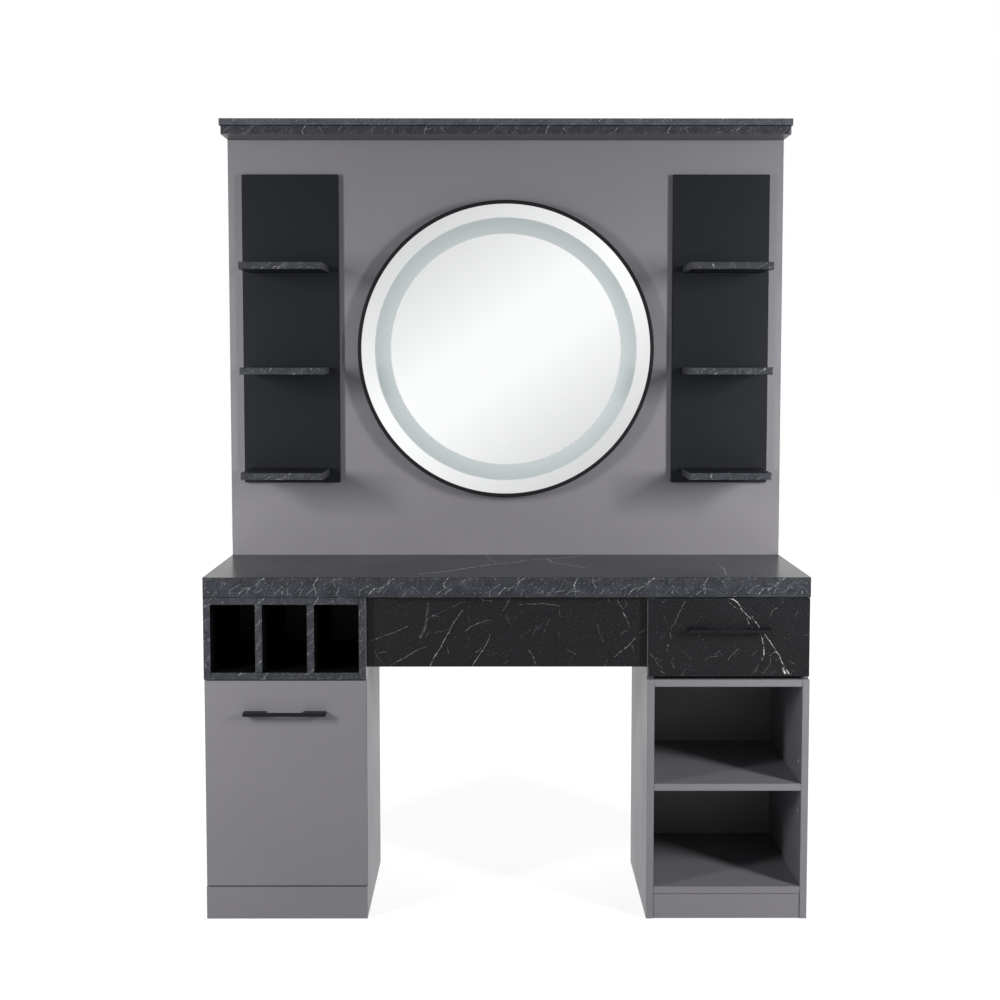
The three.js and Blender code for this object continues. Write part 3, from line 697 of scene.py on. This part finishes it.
def rack_board(name, grey_side=0):
    """Rack board: edge band in front, black inside, and a grey face where it shows outside."""
    made, graph = new_material(name)
    point = graph.point()
    normal = graph.normal()
    inside = laminate_colour(graph, point, RACK_BLACK, spread=0.12)
    colour = graph.mix(facing(graph, normal["Y"], -1), inside, marble_edge(graph, point))
    if grey_side:
        grey = laminate_colour(graph, point, GREY, spread=0.1)
        colour = graph.mix(facing(graph, normal["X"], grey_side), colour, grey)
    laminate_skin(graph, point, colour, MARBLE_ROUGH, MARBLE_GLOSS)
    return made


def powder_coat(name, colour):
    made, graph = new_material(name)
    point = graph.point()
    orange_peel = graph.noise(point, scale=700.0)
    shade = graph.ramp(graph.noise(point, scale=60.0, detail=3.0), 0.3, 0.7)
    graph.surface(
        {
            "Base Color": graph.mix(shade, shaded(colour, 0.85), colour),
            "Roughness": graph.ramp(orange_peel, 0.3, 0.7, start=0.36, end=0.46),
            "Specular IOR Level": 0.15,
            "Normal": graph.bump(orange_peel, strength=0.2, distance=0.0004),
        }
    )
    return made


def zinc_plate(name):
    """Zinc-plated steel with fine lines along its length."""
    made, graph = new_material(name)
    point = graph.point()
    drawn = graph.vector("MULTIPLY", point, (1.0, 0.03, 1.0))
    lines = graph.noise(drawn, scale=1800.0)
    bloom = graph.noise(point, scale=55.0, detail=3.0)
    graph.surface(
        {
            "Base Color": graph.mix(bloom, *ZINC),
            "Metallic": 1.0,
            "Roughness": graph.ramp(lines, 0.25, 0.75, start=0.26, end=0.42),
            "Normal": graph.bump(lines, strength=0.15, distance=0.0002),
        }
    )
    return made


def foil_board(name):
    """Light foil on the drawer and bin boxes, with a linen pressing."""
    made, graph = new_material(name)
    point = graph.point()
    parts = graph.split(point)
    threads = 5200.0
    level = graph.math("SINE", graph.times(parts["Z"], threads))
    turned = graph.math("SINE", graph.times(graph.add(parts["X"], parts["Y"]), threads))
    linen = graph.times(graph.add(level, turned), 0.25)
    mottle = graph.noise(point, scale=240.0, detail=3.0)
    graph.surface(
        {
            "Base Color": graph.mix(mottle, *FOIL),
            "Roughness": graph.ramp(mottle, 0.3, 0.7, start=0.42, end=0.52),
            "Specular IOR Level": 0.35,
            "Normal": graph.bump(linen, strength=0.12, distance=0.0003),
        }
    )
    return made


def moulded_plastic(name, dark, light):
    made, graph = new_material(name)
    point = graph.point()
    grain = graph.noise(point, scale=1100.0)
    graph.surface(
        {
            "Base Color": graph.mix(graph.noise(point, scale=90.0, detail=3.0), dark, light),
            "Roughness": graph.ramp(grain, 0.3, 0.7, start=0.45, end=0.58),
            "Normal": graph.bump(grain, strength=0.2, distance=0.0003),
        }
    )
    return made


def light_strip(name, centre):
    """White strip with a chip every few degrees; the light is switched off."""
    made, graph = new_material(name)
    parts = graph.split(graph.vector("SUBTRACT", graph.point(), centre))
    angle = graph.math("ARCTAN2", parts["Z"], parts["X"])
    beat = graph.math("COSINE", graph.times(angle, STRIP_CHIPS))
    chip = graph.ramp(beat, 0.55, 0.65)
    graph.surface(
        {
            "Base Color": graph.mix(chip, STRIP_WHITE, STRIP_CHIP),
            "Roughness": graph.ramp(chip, 0.0, 1.0, start=0.5, end=0.25),
        }
    )
    return made


def touch_mark(graph, side, rise):
    """1 on a fine circle and the short bar in it, where the mirror is touched."""
    low = graph.add(rise, TOUCH_DROP)
    reach = graph.number("LENGTH", graph.join(side, 0.0, low))
    off_circle = graph.size(graph.subtract(reach, TOUCH_RADIUS))
    circle = graph.ramp(off_circle, TOUCH_LINE, 0.4 * TOUCH_LINE)
    bar_side = graph.ramp(graph.size(side), TOUCH_LINE, 0.4 * TOUCH_LINE)
    bar_rise = graph.ramp(graph.size(graph.subtract(low, TOUCH_BAR_RISE)), *TOUCH_BAR_HALF)
    return graph.larger(circle, graph.times(bar_side, bar_rise))


def silvered_glass(name, centre):
    """Mirror with a frosted light ring, darker toward its outer edge as painted shade, and a
    frosted touch mark lifted to near white as a painted glow.
    """
    made, graph = new_material(name)
    parts = graph.split(graph.vector("SUBTRACT", graph.point(), centre))
    radius = graph.number("LENGTH", graph.join(parts["X"], 0.0, parts["Z"]))
    soft = FROST_SOFTNESS
    inner = graph.ramp(radius, FROST_INNER - soft, FROST_INNER + soft)
    outer = graph.ramp(radius, FROST_OUTER + soft, FROST_OUTER - soft)
    touch = touch_mark(graph, parts["X"], parts["Z"])
    frost = graph.larger(graph.times(inner, outer), graph.times(touch, TOUCH_FROST))
    frosted = graph.mix(graph.noise(graph.point(), scale=2600.0), *FROST)
    # The frost darkens from the ring's inner to its outer edge: painted shade
    frosted = graph.mix(graph.ramp(radius, FROST_INNER, FROST_OUTER), frosted, FROST_EDGE_SHADE)
    # The touch mark's frost takes the near-white silver colour: a painted glow for the light behind
    # the mark
    frosted = graph.mix(touch, frosted, SILVER)
    graph.surface(
        {
            "Base Color": graph.mix(frost, SILVER, frosted),
            "Metallic": graph.subtract(1.0, frost),
            "Roughness": graph.ramp(frost, 0.0, 1.0, start=0.02, end=0.55),
            "Specular IOR Level": 0.3,
        }
    )
    return made


def dress(material, *names):
    for name in names:
        slots = NODES[name].data.materials
        slots.clear()
        slots.append(material)


def starting(*prefixes):
    return [name for name in NODES if name.startswith(prefixes)]


def dress_boards():
    grey = plain_laminate("grey_laminate", GREY, spread=0.06, rough=0.44, gloss=0.45)
    dress(grey, *starting("left_pedestal", "right_pedestal", "drawer_case"))
    dress(grey, "left_plinth", "right_plinth", "back_panel", "bin_front")
    black = plain_laminate("black_laminate", BLACK, spread=0.14, rough=0.42, gloss=0.15)
    dress(black, "left_shelf_board", "right_shelf_board")
    worktop = marble_slab(
        "marble_worktop", WORKTOP_VEINS, tone=0.98, rough=0.24, gloss=0.11
    )
    dress(worktop, "worktop")
    shelves = starting("left_shelf", "right_shelf")
    shelves = [name for name in shelves if not name.endswith("_board")]
    dress(marble_slab("marble_shelf"), *shelves)
    lower = marble_slab("marble_cornice_lower", grey_below=True, tone=1.02, lines=0.9)
    upper = marble_slab("marble_cornice_upper", tone=2.2, lines=0.85)
    dress(lower, "cornice_lower")
    dress(upper, "cornice_upper")
    dress(marble_front("marble_apron", APRON_VEINS), "apron")
    dress(marble_front("marble_drawer_front", DRAWER_VEINS), "drawer_front")
    dress(rack_board("rack_board"), "rack_top", "rack_bottom", *starting("rack_divider"))
    dress(rack_board("rack_outer", grey_side=-1), "rack_outer_side")
    dress(rack_board("rack_inner", grey_side=1), "rack_inner_side")
    back = plain_laminate("rack_black", RACK_BLACK, 0.12, MARBLE_ROUGH, MARBLE_GLOSS)
    dress(back, "rack_back")


def dress_fittings():
    """Dresses the mirror and the metal parts; gives back what the small pieces share."""
    low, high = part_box("mirror_frame")
    centre = tuple((low + high) / 2)
    black_metal = powder_coat("black_metal", BLACK_METAL)
    dress(black_metal, "mirror_frame", "drawer_handle", "bin_handle")
    zinc = zinc_plate("zinc_steel")
    dress(zinc, "mirror_back_pan", "mirror_cleat", *starting("drawer_slide", "bin_slide"))
    dress(foil_board("box_board"), "drawer_wrap", "drawer_base", "bin_wrap", "bin_base")
    dress(silvered_glass("mirror_glass", centre), "mirror_glass")
    dress(light_strip("led_light", centre), "led_strip")
    dress(moulded_plastic("grey_plastic", *DRIVER_PLASTIC), "led_driver")
    return black_metal, zinc


def mesh_piece(name, points, faces, material, body):
    """A closed mesh piece that rides on a body, with smooth faces between its sharp edges."""
    mesh = bpy.data.meshes.new(name)
    mesh.from_pydata(points, [], faces)
    made = bmesh.new()
    made.from_mesh(mesh)
    bmesh.ops.recalc_face_normals(made, faces=made.faces)
    for face in made.faces:
        face.smooth = True
    made.to_mesh(mesh)
    made.free()
    mesh.set_sharp_from_angle(angle=SHARP_ANGLE)
    mesh.materials.append(material)
    piece = bpy.data.objects.new(name, mesh)
    SCENE.collection.objects.link(piece)
    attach(piece, body)
    return piece


def full_turn(count):
    return [2 * math.pi * step / count for step in range(count)]


def stacked(rings, count, closed):
    """Faces between rings of points, one after the other, closed back to the first or capped."""
    faces = []
    pairs = len(rings) if closed else len(rings) - 1
    for ring in range(pairs):
        lower = ring * count
        upper = (ring + 1) % len(rings) * count
        for step in range(count):
            after = (step + 1) % count
            faces.append((lower + step, lower + after, upper + after, upper + step))
    if not closed:
        faces.append(tuple(range(count)))
        faces.append(tuple(range((len(rings) - 1) * count, len(rings) * count)))
    return faces


def build_mirror_frame(material):
    """The mirror's ring, turned fine and with rounded front edges."""
    low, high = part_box("mirror_frame")
    centre = (low + high) / 2
    rim = (high.x - low.x) / 2
    depth = high.y - low.y
    inner = rim - FRAME_FACE
    wall = rim - FRAME_WALL
    outer_round, inner_round = FRAME_ROUND, FRAME_ROUND / 2
    quarter = [math.radians(angle) for angle in FRAME_ROUND_STEPS]
    profile = [
        (rim - outer_round * (1 - math.sin(a)), outer_round * (1 - math.cos(a))) for a in quarter
    ]
    profile += [(rim, depth), (wall, depth), (wall, FRAME_LIP), (inner, FRAME_LIP)]
    profile += [
        (inner + inner_round * (1 - math.cos(a)), inner_round * (1 - math.sin(a))) for a in quarter
    ]
    points = [
        (centre.x + r * math.cos(t), low.y + y, centre.z + r * math.sin(t))
        for r, y in profile
        for t in full_turn(FRAME_SEGMENTS)
    ]
    faces = stacked(profile, FRAME_SEGMENTS, closed=True)
    ring = mesh_piece("mirror_frame_ring", points, faces, material, "station")
    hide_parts("mirror_frame")


def oriented(points, place, axis):
    """Points made about +Z, turned so that +Z looks along axis, and set in place."""
    turn = Vector((0, 0, 1)).rotation_difference(Vector(axis)).to_matrix()
    return [turn @ Vector(p) + Vector(place) for p in points]


def build_button(name, place, axis, radius, height, material, body):
    """Low domed disc: a cover cap or a bumper."""
    points = [
        (radius * r * math.cos(t), radius * r * math.sin(t), height * h)
        for r, h in BUTTON_PROFILE
        for t in full_turn(SMALL_SEGMENTS)
    ]
    faces = stacked(BUTTON_PROFILE, SMALL_SEGMENTS, closed=False)
    mesh_piece(name, oriented(points, place, axis), faces, material, body)


def cross_reach(turn):
    """How far a screw's cross recess reaches at an angle, as a share of the head."""
    off = abs((turn + math.pi / 4) % (math.pi / 2) - math.pi / 4)
    if math.tan(off) <= CROSS_HALF_WIDTH / CROSS_ARM:
        return CROSS_ARM / math.cos(off)
    return CROSS_HALF_WIDTH / math.sin(off)


def build_screw(name, place, axis, material, body):
    """Pan-head screw with a cross recess."""
    count = 4 * SMALL_SEGMENTS
    turns = full_turn(count)
    rings = [[(r, h) for _ in turns] for r, h in SCREW_PROFILE]
    rings.append([(cross_reach(t), 1.0) for t in turns])
    rings.append([(CROSS_NARROWING * cross_reach(t), CROSS_FLOOR) for t in turns])
    points = [
        (SCREW_RADIUS * r * math.cos(t), SCREW_RADIUS * r * math.sin(t), SCREW_HEIGHT * h)
        for ring in rings
        for (r, h), t in zip(ring, turns)
    ]
    faces = stacked(rings, count, closed=False)
    mesh_piece(name, oriented(points, place, axis), faces, material, body)


def build_caps(material):
    """Cover caps over the connecting screws inside the open cabinet."""
    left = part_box("right_pedestal_inner_side")[1].x
    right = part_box("right_pedestal_outer_side")[0].x
    count = 0
    for x, axis in ((left, (1, 0, 0)), (right, (-1, 0, 0))):
        for y in CAP_DEPTHS:
            for z in CAP_RISES:
                count += 1
                name = f"cover_cap_{count}"
                build_button(name, (x, y, z), axis, CAP_RADIUS, CAP_HEIGHT, material, "station")


def build_front_fittings(front, handle, sides, body, rubber, steel):
    """Bumpers at the corners behind a front, and the handle's two screws."""
    backward = (0, 1, 0)
    low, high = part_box(front)
    edges = [sum((c.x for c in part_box(side)), 0.0) / 2 for side in sides]
    for row, z in enumerate((low.z + BUMPER_INSET, high.z - BUMPER_INSET)):
        for column, x in enumerate(edges):
            name = f"{front}_bumper_{row}{column}"
            place = (x, high.y, z)
            build_button(name, place, backward, BUMPER_RADIUS, BUMPER_HEIGHT, rubber, body)
    middle = sum(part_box(handle), Vector()) / 2
    for side, offset in (("left", -SCREW_SPREAD), ("right", SCREW_SPREAD)):
        place = (middle.x + offset, high.y, middle.z)
        build_screw(f"{handle}_screw_{side}", place, backward, steel, body)


def build_pieces(black_metal, steel):
    build_mirror_frame(black_metal)
    cap = moulded_plastic("cap_plastic", *CAP_PLASTIC)
    build_caps(cap)
    drawer_sides = ("drawer_case_inner_side", "drawer_case_outer_side")
    build_front_fittings("drawer_front", "drawer_handle", drawer_sides, "drawer", cap, steel)
    bin_sides = ("left_pedestal_inner_side", "left_pedestal_outer_side")
    build_front_fittings("bin_front", "bin_handle", bin_sides, "towel_bin", cap, steel)


build_camera()
build_world()
build_floor()
build_softbox("softbox_left", -1, LEFT_POWER)
build_softbox("softbox_right", 1, RIGHT_POWER)
dress_boards()
build_pieces(*dress_fittings())
